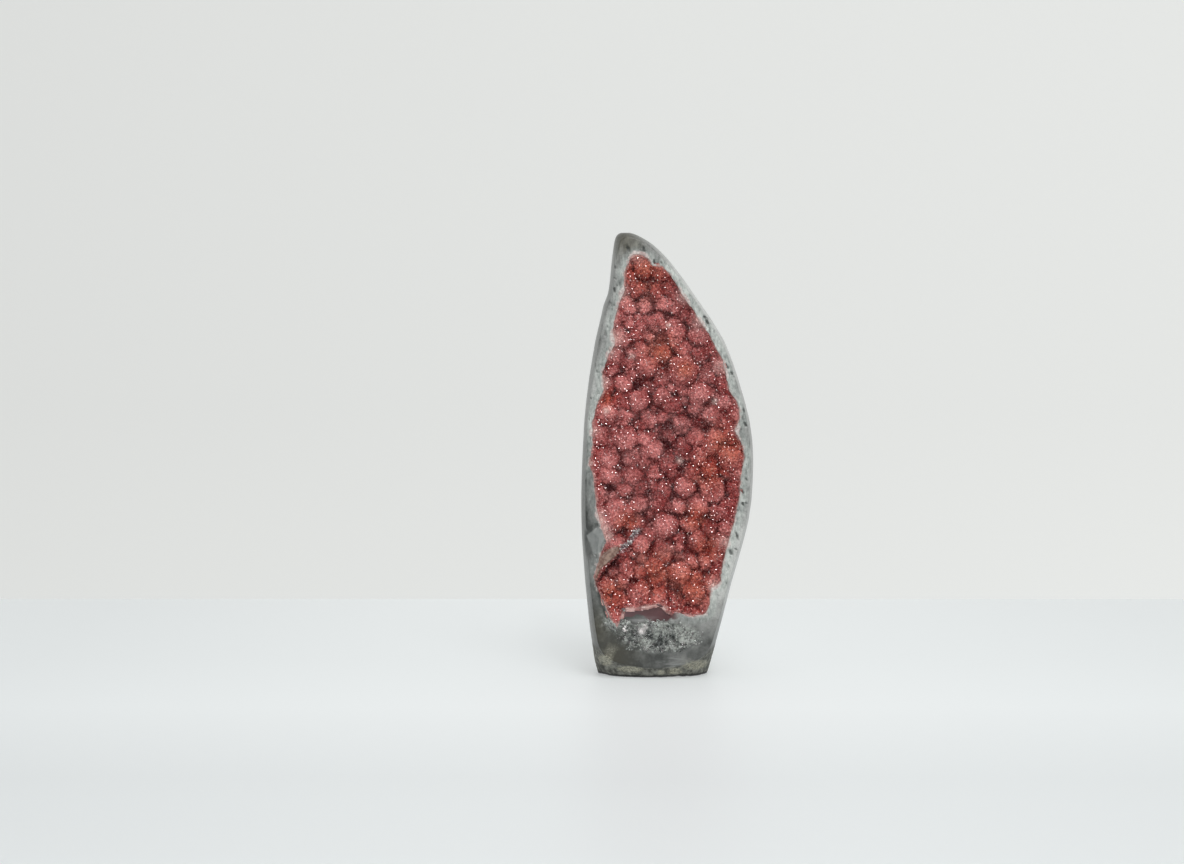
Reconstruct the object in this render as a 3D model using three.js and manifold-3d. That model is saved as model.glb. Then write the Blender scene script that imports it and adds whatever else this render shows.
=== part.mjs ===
// A free-standing red amethyst specimen: a leaf-shaped half of a geode, sawn flat across its base and face.
// The grey host rock is ground smooth behind, and its sawn face frames a hollow full of crystal rosettes.
// Millimetres, +Z up. The crystals look along -Y, and the origin is at the middle of the base.

import * as THREE from 'three';
import { mergeVertices } from 'three/addons/utils/BufferGeometryUtils.js';
import Module from 'manifold-3d';

const wasm = await Module();
wasm.setup();

// Driving dimensions
const FACE_AT_BASE = -25; // how far forward of the widest section the sawn face would meet the base
const FACE_LEAN = THREE.MathUtils.degToRad(3); // the face leans back as it rises
const HOLLOW_DEPTH = 14.5; // from the sawn face to the floor of the hollow
const CRUST_GAP = 0.3; // between the crust and the rock
const RIM_DEPTH = 0.6; // from the sawn face to the rosettes' tops at the edge of the hollow
const DISHED = 3.2; // how much deeper the tops lie in the middle of the hollow
const DISH_REACH = 14;
const BED_DEPTH = 7; // from the tops of the largest rosettes down to the bed that they grow from
const LARGEST_ROSETTE = 8;
const SMALLER_SUNK = 0.45; // how much deeper a rosette's top lies for each millimetre that its radius lacks
const GRAIN = 0.22; // how far single crystals stand out or lie back
const CELL = 2.15; // the spacing of the crust's facets
const MOST_NUDGE = 0.35 * CELL; // a facet's corners move no more than this, so that none folds over
const SIDES = 40;
const FRONT_ROUNDNESS = 2.2;
const BACK_ROUNDNESS = 2.3;
const WAVINESS = 0.008;

// The natural form before its face is sawn off: height, left edge, right edge, bulge forward, bulge back.
const FORM = [
  [0, -37.3, 22, 19, 24],
  [3, -38.2, 23, 21.5, 25.5],
  [7, -39, 24, 25.2, 27],
  [10, -39.5, 24.8, 32, 28],
  [14, -40, 25.8, 41, 29],
  [19, -40.8, 27, 47, 30],
  [28, -42, 29.4, 50, 31.5],
  [39, -43.1, 32.2, 52, 32.5],
  [50, -44.2, 35, 53, 33],
  [61, -45, 38.2, 54, 33.5],
  [72, -45.8, 41.3, 54, 33.5],
  [83, -46.2, 44, 54, 33.5],
  [94, -46.3, 45.6, 54, 33],
  [105, -46.1, 46.3, 53, 32.5],
  [116, -45.7, 46.5, 52, 32],
  [126, -45.2, 46, 51, 31.5],
  [137, -44.6, 44.4, 50, 30.5],
  [148, -43.5, 41.6, 48, 29],
  [159, -42.1, 38.3, 46, 27],
  [169, -40.5, 35, 43, 25],
  [180, -38.6, 30.5, 40, 23],
  [191, -36, 23.8, 36, 20.5],
  [199, -34.2, 18.2, 33, 18.5],
  [205, -31.8, 14, 30, 17],
  [212, -30.8, 9.2, 27.5, 15.5],
  [218, -30.3, 4.6, 25, 14],
  [223, -29.8, 0.6, 22.5, 12.5],
  [228, -29.1, -4.2, 20, 11],
  [231.5, -28.6, -8.2, 17.5, 9.5],
  [234, -28.1, -12.1, 14.5, 8],
  [236, -27.3, -15.8, 11, 6],
  [237.5, -25.6, -19.6, 6.5, 3.5],
];

// The edge of the hollow on the sawn face, clockwise from its top: across, up.
const HOLLOW_EDGE = [
  [-20.5, 223.5], [-18, 226], [-14, 226], [-10, 223.5], [-8.5, 220], [-3.5, 220], [0, 217], [4, 211],
  [6.5, 206.5], [10, 201], [14, 196], [16.5, 191], [21.5, 184.5], [25, 177.5], [29, 170], [31, 162.5],
  [32.5, 153.5], [36, 149.5], [38, 144.5], [38, 137.5], [35.5, 132.5], [40, 124], [41, 119], [39, 109],
  [38, 95.5], [35, 82.5], [31.5, 70.5], [29, 59.5], [28, 51], [23, 48.5], [22, 38], [20, 34.5],
  [12, 33], [6, 35.5], [1.5, 35], [-4, 40], [-10.5, 38.5], [-18, 37.5], [-24, 37.5], [-25, 31],
  [-27, 27.5], [-30.5, 31.5], [-33, 38], [-37, 46.5], [-39.5, 54.5], [-36.5, 65], [-33, 73.5], [-35.5, 81],
  [-38, 91], [-39.5, 107], [-42, 115], [-40, 125], [-40.5, 136], [-37.5, 147], [-34, 154], [-35, 163.5],
  [-31.5, 173], [-28, 178.5], [-29.5, 186], [-27, 197.5], [-23, 207], [-23.5, 216.5],
].map(([across, up]) => new THREE.Vector2(across, up));

// The rosettes that stand out, in rows from the top: across, up, radius.
const ROSETTES = [
  [-16, 221, 5], [-2, 215, 5], [-11, 214, 4.5], [-19, 213, 3], [2, 210, 3], [-6, 205, 5],
  [5, 203, 5], [-14, 204, 3.5], [-22, 201, 4.5], [-3, 198, 3], [7, 197, 5], [-7, 192, 3.5],
  [-15, 191, 5], [12, 191, 5], [-24, 190, 4.5], [0, 188, 3.5], [-5, 184, 3.5], [5, 183, 5],
  [15, 183, 5], [-15, 179, 4.5], [-25, 177, 3.5], [12, 175, 4.5], [23, 175, 4.5], [2, 174, 5.5],
  [-19, 171, 3], [-10, 167, 7], [22, 167, 4.5], [10, 165, 8], [-31, 165, 5], [-20, 162, 4.5],
  [26, 160, 5], [-24, 156, 5.5], [4, 155, 4.5], [17, 152, 6.5], [-4, 150, 5], [-15, 149, 6.5],
  [30, 147, 6], [2, 146, 3.5], [12, 145, 4.5], [-32, 144, 6.5], [-19, 140, 4.5], [33, 139, 5],
  [-7, 138, 4.5], [6, 136, 4.5], [-30, 135, 3.5], [-36, 135, 3], [-1, 129, 3.5], [33, 128, 5],
  [-27, 127, 6.5], [22, 126, 7], [-37, 125, 4.5], [-10, 124, 7], [31, 118, 6.5], [-32, 117, 6],
  [7, 116, 3.5], [17, 116, 4.5], [-19, 116, 5], [-3, 115, 4.5], [13, 110, 5], [29, 110, 5],
  [-32, 108, 6], [-9, 108, 4.5], [-15, 102, 4.5], [9, 101, 6.5], [22, 101, 6.5], [35, 101, 3.5],
  [-24, 100, 5], [-6, 100, 4.5], [-35, 99, 4.5], [17, 92, 5.5], [-4, 91, 5], [6, 91, 5],
  [-31, 91, 6.5], [-20, 89, 5], [29, 89, 6.5], [-27, 83, 4.5], [14, 83, 6.5], [-2, 82, 6.5],
  [25, 81, 4.5], [-14, 81, 3.5], [16, 74, 4.5], [-8, 74, 5], [28, 74, 4.5], [5, 71, 4.5],
  [-19, 69, 3.5], [-4, 69, 4.5], [13, 64, 4.5], [-23, 64, 4.5], [22, 63, 4.5], [1, 62, 3.5],
  [-7, 60, 6], [24, 58, 3.5], [7, 56, 6], [17, 56, 4.5], [-22, 55, 6], [-14, 55, 4.5],
  [-35, 52, 4.5], [-4, 51, 4.5], [13, 48, 7], [-30, 48, 5.5], [5, 48, 3], [-16, 45, 6.5],
  [-4, 45, 5.5], [-29, 41, 5], [17, 39, 5], [9, 39, 3.5], [-27, 34, 2.5],
];
const FILLER_RADIUS = [2.4, 3.6];
const FILLER_STEP = 3.4;

// Where the crust lies deeper: across, up, reach, depth.
const DIPS = [
  [18, 134, 9, 6], [0, 129, 11, 3.5], [-14, 206, 8, 3], [5, 48, 6, 4], [-35, 97, 6, 3],
  [15, 99, 5, 3], [-2, 160, 30, 1.5], [0, 95, 35, 2.5], [-13, 86, 6, 4], [-30, 58.5, 5, 5],
];

// The lip of quartz round the crust: it starts this deep, and falls away from this far in, this steeply.
const LIP = { depth: 0.4, width: 0.8, fall: 1.6 };

// The broken ledge low on the left, a plate that stands over a dark slot: across, up.
const LEDGE_EDGE = [
  [-39, 54], [-36.5, 64], [-32, 69], [-26, 71.5], [-25, 68.5], [-31.5, 61.5], [-36, 57.5], [-38.6, 52],
].map(([across, up]) => new THREE.Vector2(across, up));
const LEDGE_DEPTH = 0.9; // behind the sawn face at the ledge's outer end
const LEDGE_FALL = 0.16; // how much it falls for each millimetre inwards

// Chips and hollows in the rock, each cut by an ellipsoid. Its middle and its radii go across, up, back.
const RIM_CHIP = { at: [-45.8, 71.5, -8.4], radii: [12.5, 13, 12.5], facets: [9, 7], roughness: 0.03 };
const SCAR = { at: [-11, 34.2, -0.4], radii: [15, 5.6, 4] };
const CRACK = { at: [21.6, 190.6, 0], radii: [0.8, 3.2, 1.3], turn: 0.5, facets: [8, 6] };
const POCKET = { at: [-4, 22.5, -0.6], radii: [21, 7.5, 2.6], roughness: 0.14 };
const POCKET_CRYSTALS = 14;
const POCKET_CRYSTAL_RADIUS = [1.2, 2.2];
const CRYSTAL_SLENDERNESS = 2.2;
const CRYSTAL_TILT = 0.7;

// Gas bubbles that the saw opened
const PITS = 26;
const PIT_RADIUS = [0.7, 1.4];
const PIT_OFFSET = [1.6, 4.2]; // from the edge of the hollow

// Repeatable noise from 0 to 1
let seed = 20407;
function random() {
  seed = (seed * 1103515245 + 12345) % 2147483648;
  return seed / 2147483648;
}

const between = ([low, high]) => low + random() * (high - low);

const aside = (most) => between([-most, most]);

const faceY = (up) => FACE_AT_BASE + up * Math.tan(FACE_LEAN);

// Moves a geometry whose y is a depth behind the sawn face to its place on the leaning face.
function ontoFace(geometry) {
  const place = geometry.attributes.position;
  for (let i = 0; i < place.count; i++) {
    place.setY(i, place.getY(i) + faceY(place.getZ(i)));
  }
  return geometry;
}

// The same geometry with only its places, and each shared corner once.
function welded(geometry) {
  const bare = new THREE.BufferGeometry();
  bare.setAttribute('position', geometry.attributes.position);
  bare.setIndex(geometry.index);
  return mergeVertices(bare, 1e-4);
}

function toSolid(geometry) {
  const closed = welded(geometry);
  const mesh = new wasm.Mesh({
    numProp: 3,
    vertProperties: closed.attributes.position.array,
    triVerts: new Uint32Array(closed.index.array),
  });
  return new wasm.Manifold(mesh);
}

function toMesh(name, solid, material) {
  const { vertProperties, triVerts } = solid.getMesh();
  const geometry = new THREE.BufferGeometry();
  geometry.setAttribute('position', new THREE.BufferAttribute(vertProperties, 3));
  geometry.setIndex(new THREE.BufferAttribute(triVerts, 1));
  const mesh = new THREE.Mesh(geometry, material);
  mesh.name = name;
  return mesh;
}

// The geode's own rounded form, lofted through FORM.
function naturalForm() {
  const form = new THREE.CylinderGeometry(1, 1, 1, SIDES, FORM.length - 1).rotateX(Math.PI / 2);
  const place = form.attributes.position;
  const rounded = (part, roundness) => Math.sign(part) * Math.abs(part) ** (2 / roundness);
  for (let i = 0; i < place.count; i++) {
    const [across, back] = [place.getX(i), place.getY(i)];
    const level = Math.round((place.getZ(i) + 0.5) * (FORM.length - 1));
    const [up, left, right, forwardBulge, backBulge] = FORM[level];
    const roundness = back < 0 ? FRONT_ROUNDNESS : BACK_ROUNDNESS;
    const bulge = back < 0 ? forwardBulge : backBulge;
    const turn = Math.atan2(back, across);
    const ripple = Math.sin(3 * turn + up / 17) + Math.sin(7 * turn - up / 11);
    const wave = 1 + WAVINESS * Math.max(0, back) * ripple;
    const x = (left + right) / 2 + ((right - left) / 2) * rounded(across, roundness);
    place.setXYZ(i, x, bulge * rounded(back, roundness) * wave, up);
  }
  return toSolid(form);
}

// A block that takes off all that stands forward of the sawn face.
function sawnOff() {
  const [width, thickness, height] = [200, 80, 300];
  const block = new THREE.BoxGeometry(width, thickness, height);
  return toSolid(ontoFace(block.translate(0, -thickness / 2, height / 2 - 20)));
}

// The hollow's edge moved inwards. Its points run clockwise, so inwards is to the right of each side.
function insetEdge(distance) {
  const inwards = (from, to) => new THREE.Vector2(to.y - from.y, from.x - to.x).normalize();
  return HOLLOW_EDGE.map((point, i) => {
    const before = inwards(HOLLOW_EDGE.at(i - 1), point);
    const after = inwards(point, HOLLOW_EDGE[(i + 1) % HOLLOW_EDGE.length]);
    const way = before.clone().add(after).normalize();
    return point.clone().addScaledVector(way, distance / Math.max(0.5, way.dot(after)));
  });
}

// A straight-sided block, from one depth behind the sawn face to another.
function prism(outline, front, back) {
  const extent = { depth: back - front, bevelEnabled: false };
  const block = new THREE.ExtrudeGeometry(new THREE.Shape(outline), extent);
  return block.rotateX(Math.PI / 2).translate(0, back, 0);
}

function ellipsoid({ at, radii, turn = 0, roughness = 0, facets = [18, 12] }) {
  const ball = welded(new THREE.SphereGeometry(1, ...facets));
  const place = ball.attributes.position;
  const way = new THREE.Vector3();
  for (let i = 0; i < place.count; i++) {
    way.fromBufferAttribute(place, i).multiplyScalar(1 + aside(roughness));
    place.setXYZ(i, way.x, way.y, way.z);
  }
  const [across, up, depth] = radii;
  ball.scale(across, depth, up).rotateY(turn).translate(at[0], at[2], at[1]);
  return toSolid(ontoFace(ball));
}

function distanceToEdge(x, z) {
  const point = new THREE.Vector3(x, z, 0);
  const nearest = new THREE.Vector3();
  const side = new THREE.Line3();
  let least = Infinity;
  HOLLOW_EDGE.forEach((end, i) => {
    const start = HOLLOW_EDGE.at(i - 1);
    side.start.set(start.x, start.y, 0);
    side.end.set(end.x, end.y, 0);
    least = Math.min(least, side.closestPointToPoint(point, true, nearest).distanceTo(point));
  });
  return least;
}

function isInHollow(x, z) {
  let inside = false;
  HOLLOW_EDGE.forEach((b, i) => {
    const a = HOLLOW_EDGE.at(i - 1);
    const crosses = a.y > z !== b.y > z && x < a.x + ((z - a.y) / (b.y - a.y)) * (b.x - a.x);
    if (crosses) inside = !inside;
  });
  return inside;
}

// How far behind the sawn face the tops of the largest rosettes lie.
function dish(x, z) {
  let depth = RIM_DEPTH + DISHED * (1 - Math.exp(-distanceToEdge(x, z) / DISH_REACH));
  for (const [across, up, reach, most] of DIPS) {
    depth += most * Math.exp(-((x - across) ** 2 + (z - up) ** 2) / reach ** 2);
  }
  return depth;
}

const apart = (ball, x, z) => Math.hypot(x - ball.x, z - ball.z);

// The listed rosettes, with smaller ones in the gaps between them, each a ball at its own depth.
function allRosettes() {
  const balls = ROSETTES.map(([x, z, radius]) => ({ x, z, radius }));
  const [low, high] = [30, 226];
  const [left, right] = [-42, 42];
  for (let z = low; z < high; z += FILLER_STEP) {
    for (let x = left; x < right; x += FILLER_STEP) {
      const spot = { x: x + FILLER_STEP * random(), z: z + FILLER_STEP * random() };
      spot.radius = between(FILLER_RADIUS);
      const isClear = (ball) => apart(ball, spot.x, spot.z) > 0.75 * (ball.radius + spot.radius);
      if (balls.every(isClear) && isInHollow(spot.x, spot.z)) balls.push(spot);
    }
  }
  for (const ball of balls) {
    const sunk = SMALLER_SUNK * (LARGEST_ROSETTE - ball.radius) + 0.8 * random();
    ball.middle = dish(ball.x, ball.z) + sunk + ball.radius;
  }
  return balls;
}

// Moves a corner of the facets to the top or to the foot of its rosette, or else a little at random.
function nudged(x, z, balls) {
  const closeness = (ball) => apart(ball, x, z) / ball.radius;
  const ball = balls.reduce((best, next) => (closeness(next) < closeness(best) ? next : best));
  const distance = apart(ball, x, z);
  if (distance < MOST_NUDGE) return [ball.x, ball.z];
  if (Math.abs(distance - ball.radius) < MOST_NUDGE) {
    const stretch = ball.radius / distance;
    return [ball.x + (x - ball.x) * stretch, ball.z + (z - ball.z) * stretch];
  }
  return [x + aside(0.7 * MOST_NUDGE), z + aside(0.7 * MOST_NUDGE)];
}

// The front of the crust: the rosettes' tops, the bed between them, and the lip of quartz.
function crustDepth(x, z, balls) {
  const lip = LIP.depth + LIP.fall * Math.max(0, distanceToEdge(x, z) - LIP.width);
  let depth = Math.min(dish(x, z) + BED_DEPTH, lip, HOLLOW_DEPTH - 2);
  for (const ball of balls) {
    const spare = ball.radius ** 2 - apart(ball, x, z) ** 2;
    if (spare > 0) depth = Math.min(depth, ball.middle - Math.sqrt(spare));
  }
  return depth + aside(GRAIN);
}

function crystalField() {
  const [left, right, low, high] = [-44, 44, 24, 230];
  const cells = [Math.round((right - left) / CELL), 1, Math.round((high - low) / CELL)];
  const block = welded(new THREE.BoxGeometry(right - left, 2, high - low, ...cells));
  block.translate((left + right) / 2, 0, (low + high) / 2);
  const place = block.attributes.position;
  const balls = allRosettes();
  for (let i = 0; i < place.count; i++) {
    const [cornerX, cornerZ] = [place.getX(i), place.getZ(i)];
    const isEdge = cornerX === left || cornerX === right || cornerZ === low || cornerZ === high;
    if (place.getY(i) > 0) {
      place.setY(i, HOLLOW_DEPTH + 1);
    } else {
      const [x, z] = isEdge ? [cornerX, cornerZ] : nudged(cornerX, cornerZ, balls);
      place.setXYZ(i, x, crustDepth(x, z, balls), z);
    }
  }
  return toSolid(ontoFace(block));
}

function ledge() {
  const plate = prism(LEDGE_EDGE, 0, HOLLOW_DEPTH);
  const place = plate.attributes.position;
  for (let i = 0; i < place.count; i++) {
    const fall = LEDGE_FALL * (place.getX(i) - LEDGE_EDGE[0].x);
    if (place.getY(i) < 1) place.setY(i, LEDGE_DEPTH + fall);
  }
  return toSolid(ontoFace(plate));
}

function crystalCrust() {
  const room = prism(insetEdge(CRUST_GAP), -1, HOLLOW_DEPTH - CRUST_GAP);
  return crystalField().add(ledge()).intersect(toSolid(ontoFace(room)));
}

function pits() {
  return Array.from({ length: PITS }, (_, i) => {
    const corner = Math.floor(((i + random()) / PITS) * HOLLOW_EDGE.length);
    const from = HOLLOW_EDGE[corner];
    const to = HOLLOW_EDGE[(corner + 1) % HOLLOW_EDGE.length];
    const away = new THREE.Vector2(from.y - to.y, to.x - from.x).normalize();
    const spot = from.clone().lerp(to, random()).addScaledVector(away, between(PIT_OFFSET));
    const size = between(PIT_RADIUS);
    const pit = new THREE.IcosahedronGeometry(size, 0).scale(0.7, 1, 1.5);
    return toSolid(ontoFace(pit.translate(spot.x, 0.2 * size, spot.y)));
  });
}

// Small quartz points that stand in the rough pocket under the crust.
function pocketCrystals() {
  return Array.from({ length: POCKET_CRYSTALS }, () => {
    const size = between(POCKET_CRYSTAL_RADIUS);
    const length = CRYSTAL_SLENDERNESS * size;
    const x = POCKET.at[0] + aside(0.8 * POCKET.radii[0]);
    const z = POCKET.at[1] + aside(0.5 * POCKET.radii[1]);
    const point = new THREE.ConeGeometry(size, length, 6).rotateX(Math.PI + aside(CRYSTAL_TILT));
    point.rotateZ(aside(CRYSTAL_TILT)).translate(x, 0.4 + length / 2, z);
    return toSolid(ontoFace(point));
  });
}

function hostRock() {
  const hollow = toSolid(ontoFace(prism(HOLLOW_EDGE, -30, HOLLOW_DEPTH)));
  const chips = [RIM_CHIP, SCAR, CRACK].map(ellipsoid);
  const roughPocket = ellipsoid(POCKET).subtract(wasm.Manifold.union(pocketCrystals()));
  const holes = wasm.Manifold.union([hollow, ...chips, roughPocket, ...pits()]);
  return naturalForm().subtract(sawnOff()).subtract(holes);
}

function stone() {
  return new THREE.MeshStandardMaterial({ color: 0x7f8583, roughness: 0.42, flatShading: true });
}

function redQuartz() {
  return new THREE.MeshStandardMaterial({ color: 0xa04746, roughness: 0.3, flatShading: true });
}

const specimen = new THREE.Group();
specimen.name = 'amethyst_specimen';
specimen.add(toMesh('host_rock', hostRock(), stone()));
specimen.add(toMesh('crystal_crust', crystalCrust(), redQuartz()));

// Both pieces move together until the middle of the base is the origin.
const bounds = new THREE.Box3().setFromObject(specimen);
const middle = bounds.getCenter(new THREE.Vector3());
specimen.position.set(-middle.x, -middle.y, -bounds.min.z);

const group = specimen;
export default group;
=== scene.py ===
import math

import bmesh
import bpy
import numpy as np
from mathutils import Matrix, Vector
from mathutils.bvhtree import BVHTree
from mathutils.noise import fractal, voronoi


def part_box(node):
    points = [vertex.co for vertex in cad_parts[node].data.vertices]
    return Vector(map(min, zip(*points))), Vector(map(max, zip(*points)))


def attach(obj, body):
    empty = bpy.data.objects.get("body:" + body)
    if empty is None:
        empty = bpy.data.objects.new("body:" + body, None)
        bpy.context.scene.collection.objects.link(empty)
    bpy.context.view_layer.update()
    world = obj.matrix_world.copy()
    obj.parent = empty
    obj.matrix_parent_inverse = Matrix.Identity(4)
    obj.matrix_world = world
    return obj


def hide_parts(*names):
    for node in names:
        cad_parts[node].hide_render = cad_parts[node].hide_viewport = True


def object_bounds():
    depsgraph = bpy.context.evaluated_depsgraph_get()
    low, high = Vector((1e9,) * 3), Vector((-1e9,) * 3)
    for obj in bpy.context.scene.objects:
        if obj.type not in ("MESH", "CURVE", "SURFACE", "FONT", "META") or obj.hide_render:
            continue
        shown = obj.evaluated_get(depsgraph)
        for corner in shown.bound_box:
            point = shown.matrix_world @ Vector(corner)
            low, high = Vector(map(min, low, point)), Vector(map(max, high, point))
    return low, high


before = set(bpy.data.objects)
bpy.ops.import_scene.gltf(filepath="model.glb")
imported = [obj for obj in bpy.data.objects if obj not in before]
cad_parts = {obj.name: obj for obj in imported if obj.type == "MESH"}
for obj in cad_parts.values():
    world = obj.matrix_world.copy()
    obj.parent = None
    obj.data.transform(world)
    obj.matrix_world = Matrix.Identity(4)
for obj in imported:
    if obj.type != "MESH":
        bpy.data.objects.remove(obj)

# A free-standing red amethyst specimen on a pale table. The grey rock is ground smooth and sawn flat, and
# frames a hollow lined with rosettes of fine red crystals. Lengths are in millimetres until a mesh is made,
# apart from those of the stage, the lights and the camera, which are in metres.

MM = 0.001
CAD_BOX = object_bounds()
BOX_LOW, BOX_HIGH = [np.array(corner) / MM for corner in CAD_BOX]
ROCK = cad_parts["host_rock"]
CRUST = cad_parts["crystal_crust"]
RANDOM = np.random.default_rng(20407)
STAGE_REACH = 5.0
TABLE_EDGE, TABLE_BEND = 0.3, 0.03
WALL_PLACE = 3.0
# The wall's painted light, from its left to its right.
WALL_PAINTED_LIGHT = (0.425, 0.488)
TABLE_FRONT, TABLE_DROP = -2.5, 0.6
WALL_TOP, WALL_FOOT = 4.0, -1.6
CAMERA_PLACE = (-0.0405, -1.5069, 0.2355)
CAMERA_TILT = math.radians(86)  # from looking straight down
CAMERA_LENS, CAMERA_SENSOR = 85, 36
SPARKLE_PLACE = (0.25, -1.3, 1.5)

# The sawn face leans back as it rises.
FACE_AT_BASE = -29.44
FACE_LEAN = math.radians(3)

# Rock
ROCK_VOXEL = 0.5
ROCK_TRIANGLES = 195000
CREASE = 2.5  # how far from the sawn face the ground sides keep their own shape
GRIND_ROUNDS = 240
BAND_TOP = 19.0  # the rough natural skin is left below this height
POCKET_MIDDLE, POCKET_REACH = (-4.0, 22.5), (26.0, 10.0)
POCKET_POINTS = 3600
VUG_POINTS = 130
CLEAR_SHARE = 0.25
RANDOM_PITS = 34
PIT_RADIUS = (0.3, 0.6)
PIT_LENGTH = 2.2  # of its width
PIT_SLANT = (-0.9, 0.3)
PIT_DEPTH = 1.1
EDGE_SWAY = 0.7  # how uneven the edge of the hollow is
RING_DEPTH = 0.16  # of the fine pitting round the hollow
SKIN_LIFT, BROKEN_LIFT, WHITE_LIFT = 0.5, 1.1, 0.6  # of the natural skin, the broken rock, its white lumps
CHIP_DEPTH = 0.8
QUARTZ_RADIUS = (0.22, 0.7)  # of the small points in the pocket
VUG_RADIUS = (0.3, 0.75)
VUG_WHITENESS = 0.62

# Crust
BED_STEP = 0.5
BED_MARGIN = 1.5
FRONT_GAP = 0.3  # the bed keeps about this far behind the sawn face
ROSETTE_RADIUS = (2.4, 6.0)  # of those that fill the gaps between the named ones
ROSETTE_TRIES = 5000
ROSETTE_OVERLAP = 0.74  # the least distance between two, over the sum of their radii
ROSETTE_LIFT = 0.62  # of its radius
ROSETTE_MERGE = 5  # low: they flow into each other, high: a crease between each two
ROSETTE_SWAY = 0.6  # how far their outlines stray from circles
OLD_RELIEF = 0.35  # the share of the solid's own relief that is kept
ROSETTE_DEPTH = 1.1  # how far the bed between the rosettes lies behind the solid's broad form
BROAD_SIZE = 3.6  # the blur that leaves the solid's broad form
SWAY_SIZE = 1.5
LUMP_SIZE, LUMP_DEPTH = 2.6, 0.7
# The share that a dark spot adds to a crevice's darker red and painted shade.
DARK_RED_AND_SHADE_SHARE = 0.72  # how much a dark spot adds to a crevice
LEDGE_DEPTH, LEDGE_FALL = 0.5, 0.12  # at the ledge's outer end, and for each millimetre inwards
SLOT_DEPTH, VUG_DEPTH = 3.0, 1.4
SMALL_POINT = {"count": 32000, "radius": (0.38, 0.64), "slenderness": 1.2}
LARGE_POINT = {"count": 8500, "radius": (0.5, 0.88), "slenderness": 1.15}
GLINTS = 800
GLINT_SPACING = 1.8
GLINT_RADIUS = (0.27, 0.45)
GLINT_STEM, GLINT_HEIGHT = 2.0, 1.0  # of a point's radius
GLINT_LIFT = 0.85  # above the bed
POINT_SIDES = 6
POINT_TILT = 0.42
QUARTZ_IOR, GLINT_IOR, PAINT_IOR = 1.54, 1.6, 1.35

# Named places on the sawn face, each with its reach: across, up, reach.
ROSETTES = [(-5.8, 189.5, 5.4), (-12.7, 198.3, 4.3), (-14.6, 173.8, 4.9), (4, 166.9, 4.3),
            (-15.6, 207.1, 4.9), (-1.9, 199.2, 4.3), (-9.7, 181.6, 3.8), (3.1, 179.7, 3.8),
            (-11.7, 165.9, 6.5), (8, 164, 8.7), (-15.6, 147.3, 6), (-32.3, 141.4, 6.5), (-3.8, 150.3, 4.9),
            (16.8, 152.2, 6.5), (29.6, 147.3, 4.9), (-24.4, 157.1, 4.9), (-18.5, 161, 3.8),
            (-30.3, 164, 3.8), (-22.4, 126.7, 7), (-32.3, 116.9, 6.5), (33.5, 117.9, 7.6),
            (25.7, 129.7, 4.9), (16.8, 117.9, 5.4), (-6.7, 121.8, 5.4), (9, 101.2, 6), (23.7, 100.2, 7.6),
            (-33.3, 108.1, 4.9), (-23.4, 100.2, 4.3), (-26.4, 88.4, 8.7), (-1.8, 80.6, 7.6),
            (6.1, 91.4, 4.3), (15.9, 91.4, 7), (26.7, 88.4, 5.4), (11, 81.6, 4.9), (14.9, 72.7, 6.5),
            (5.1, 69.8, 3.3), (-14.6, 70.8, 5.4), (-7.7, 59, 5.4), (12, 61.9, 4.3), (19.8, 61.9, 4.3),
            (6.1, 56, 6.5), (-15.6, 45.2, 6.5), (13.9, 45.2, 6.5), (-4.7, 44.2, 4.9), (-27.4, 71.8, 4.3),
            (-22.4, 58, 4.9), (-32.3, 49.2, 4.3), (-6.7, 109.1, 4.3), (-2.8, 138.5, 3.8)]
WARM_SPOTS = [(-12.7, 216.9, 13), (-3.8, 174, 9), (31.6, 123.8, 11), (22.7, 110, 10), (-21.5, 82.6, 6),
              (14.9, 84.5, 7), (-5.7, 55, 13), (-30.3, 44.2, 9), (13, 49.2, 12), (-33.3, 149.3, 5),
              (20.8, 68.8, 8), (9, 165, 5)]
# Places with lighter rosette tops: partly the white of the crystal tips, partly painted highlight.
FROSTED_AND_LIT_SPOTS = [(-10.7, 190.4, 6), (3.1, 180.6, 6), (-16.6, 172.8, 5), (18.8, 164, 5), (16.8, 196.3, 4),
                 (-33.1, 142.4, 4.5), (-2.8, 199.2, 5), (-23, 201.2, 3.5), (-24.4, 156.6, 3),
                 (-3.8, 150.3, 4.5), (-7.7, 136.5, 3.5), (17.5, 93, 4), (4.1, 91, 4),
                 (-20.5, 102.2, 6), (-3.8, 81.6, 5), (-32.3, 110, 5), (-8.7, 119.9, 5), (-20.5, 140.5, 4),
                 (10.9, 175.7, 5), (-27.4, 127.7, 5), (-7, 202, 6), (-1.7, 180.6, 8),
                 (11, 165, 9), (6.4, 53, 6), (17.3, 151.7, 7), (27, 125, 6)]
WHITE_SPOTS = [(-19.2, 171.5, 1.5), (-33.1, 142.4, 1.8), (25.2, 147.3, 1.6), (0.1, 187.8, 1.3),
               (6.3, 115.3, 1.6), (23.8, 49.2, 2.2), (-35.9, 83.5, 2.4), (-34.1, 79.6, 3.0),
               (-32.2, 75.5, 2.5)]
# Places painted as dark as the crevices: partly the crust's own deeper red, partly painted shade.
DARK_RED_AND_SHADE_SPOTS = [(18.8, 132.6, 5), (-0.8, 128.7, 5), (7, 110, 3.5), (-9.7, 99.2, 6), (-13.3, 198.8, 5),
              (-26, 172.2, 3.5), (-33.9, 97.8, 2.2), (10.2, 91.8, 2), (4.1, 64.4, 2.5), (6.4, 44.6, 2.4),
              (-12.6, 89.4, 3), (0.1, 119.9, 8), (-5.8, 186.5, 3), (-28.3, 51.1, 3), (9, 134.6, 8),
              (-15.6, 99.2, 7), (-2.8, 65.9, 5), (-8.7, 177.7, 5), (-20.5, 117.9, 4), (12.9, 70.8, 4),
              (-14.6, 62.9, 4), (-30, 96, 4), (11.5, 97.5, 3), (-15, 40, 3), (18, 41, 4)]
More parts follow.
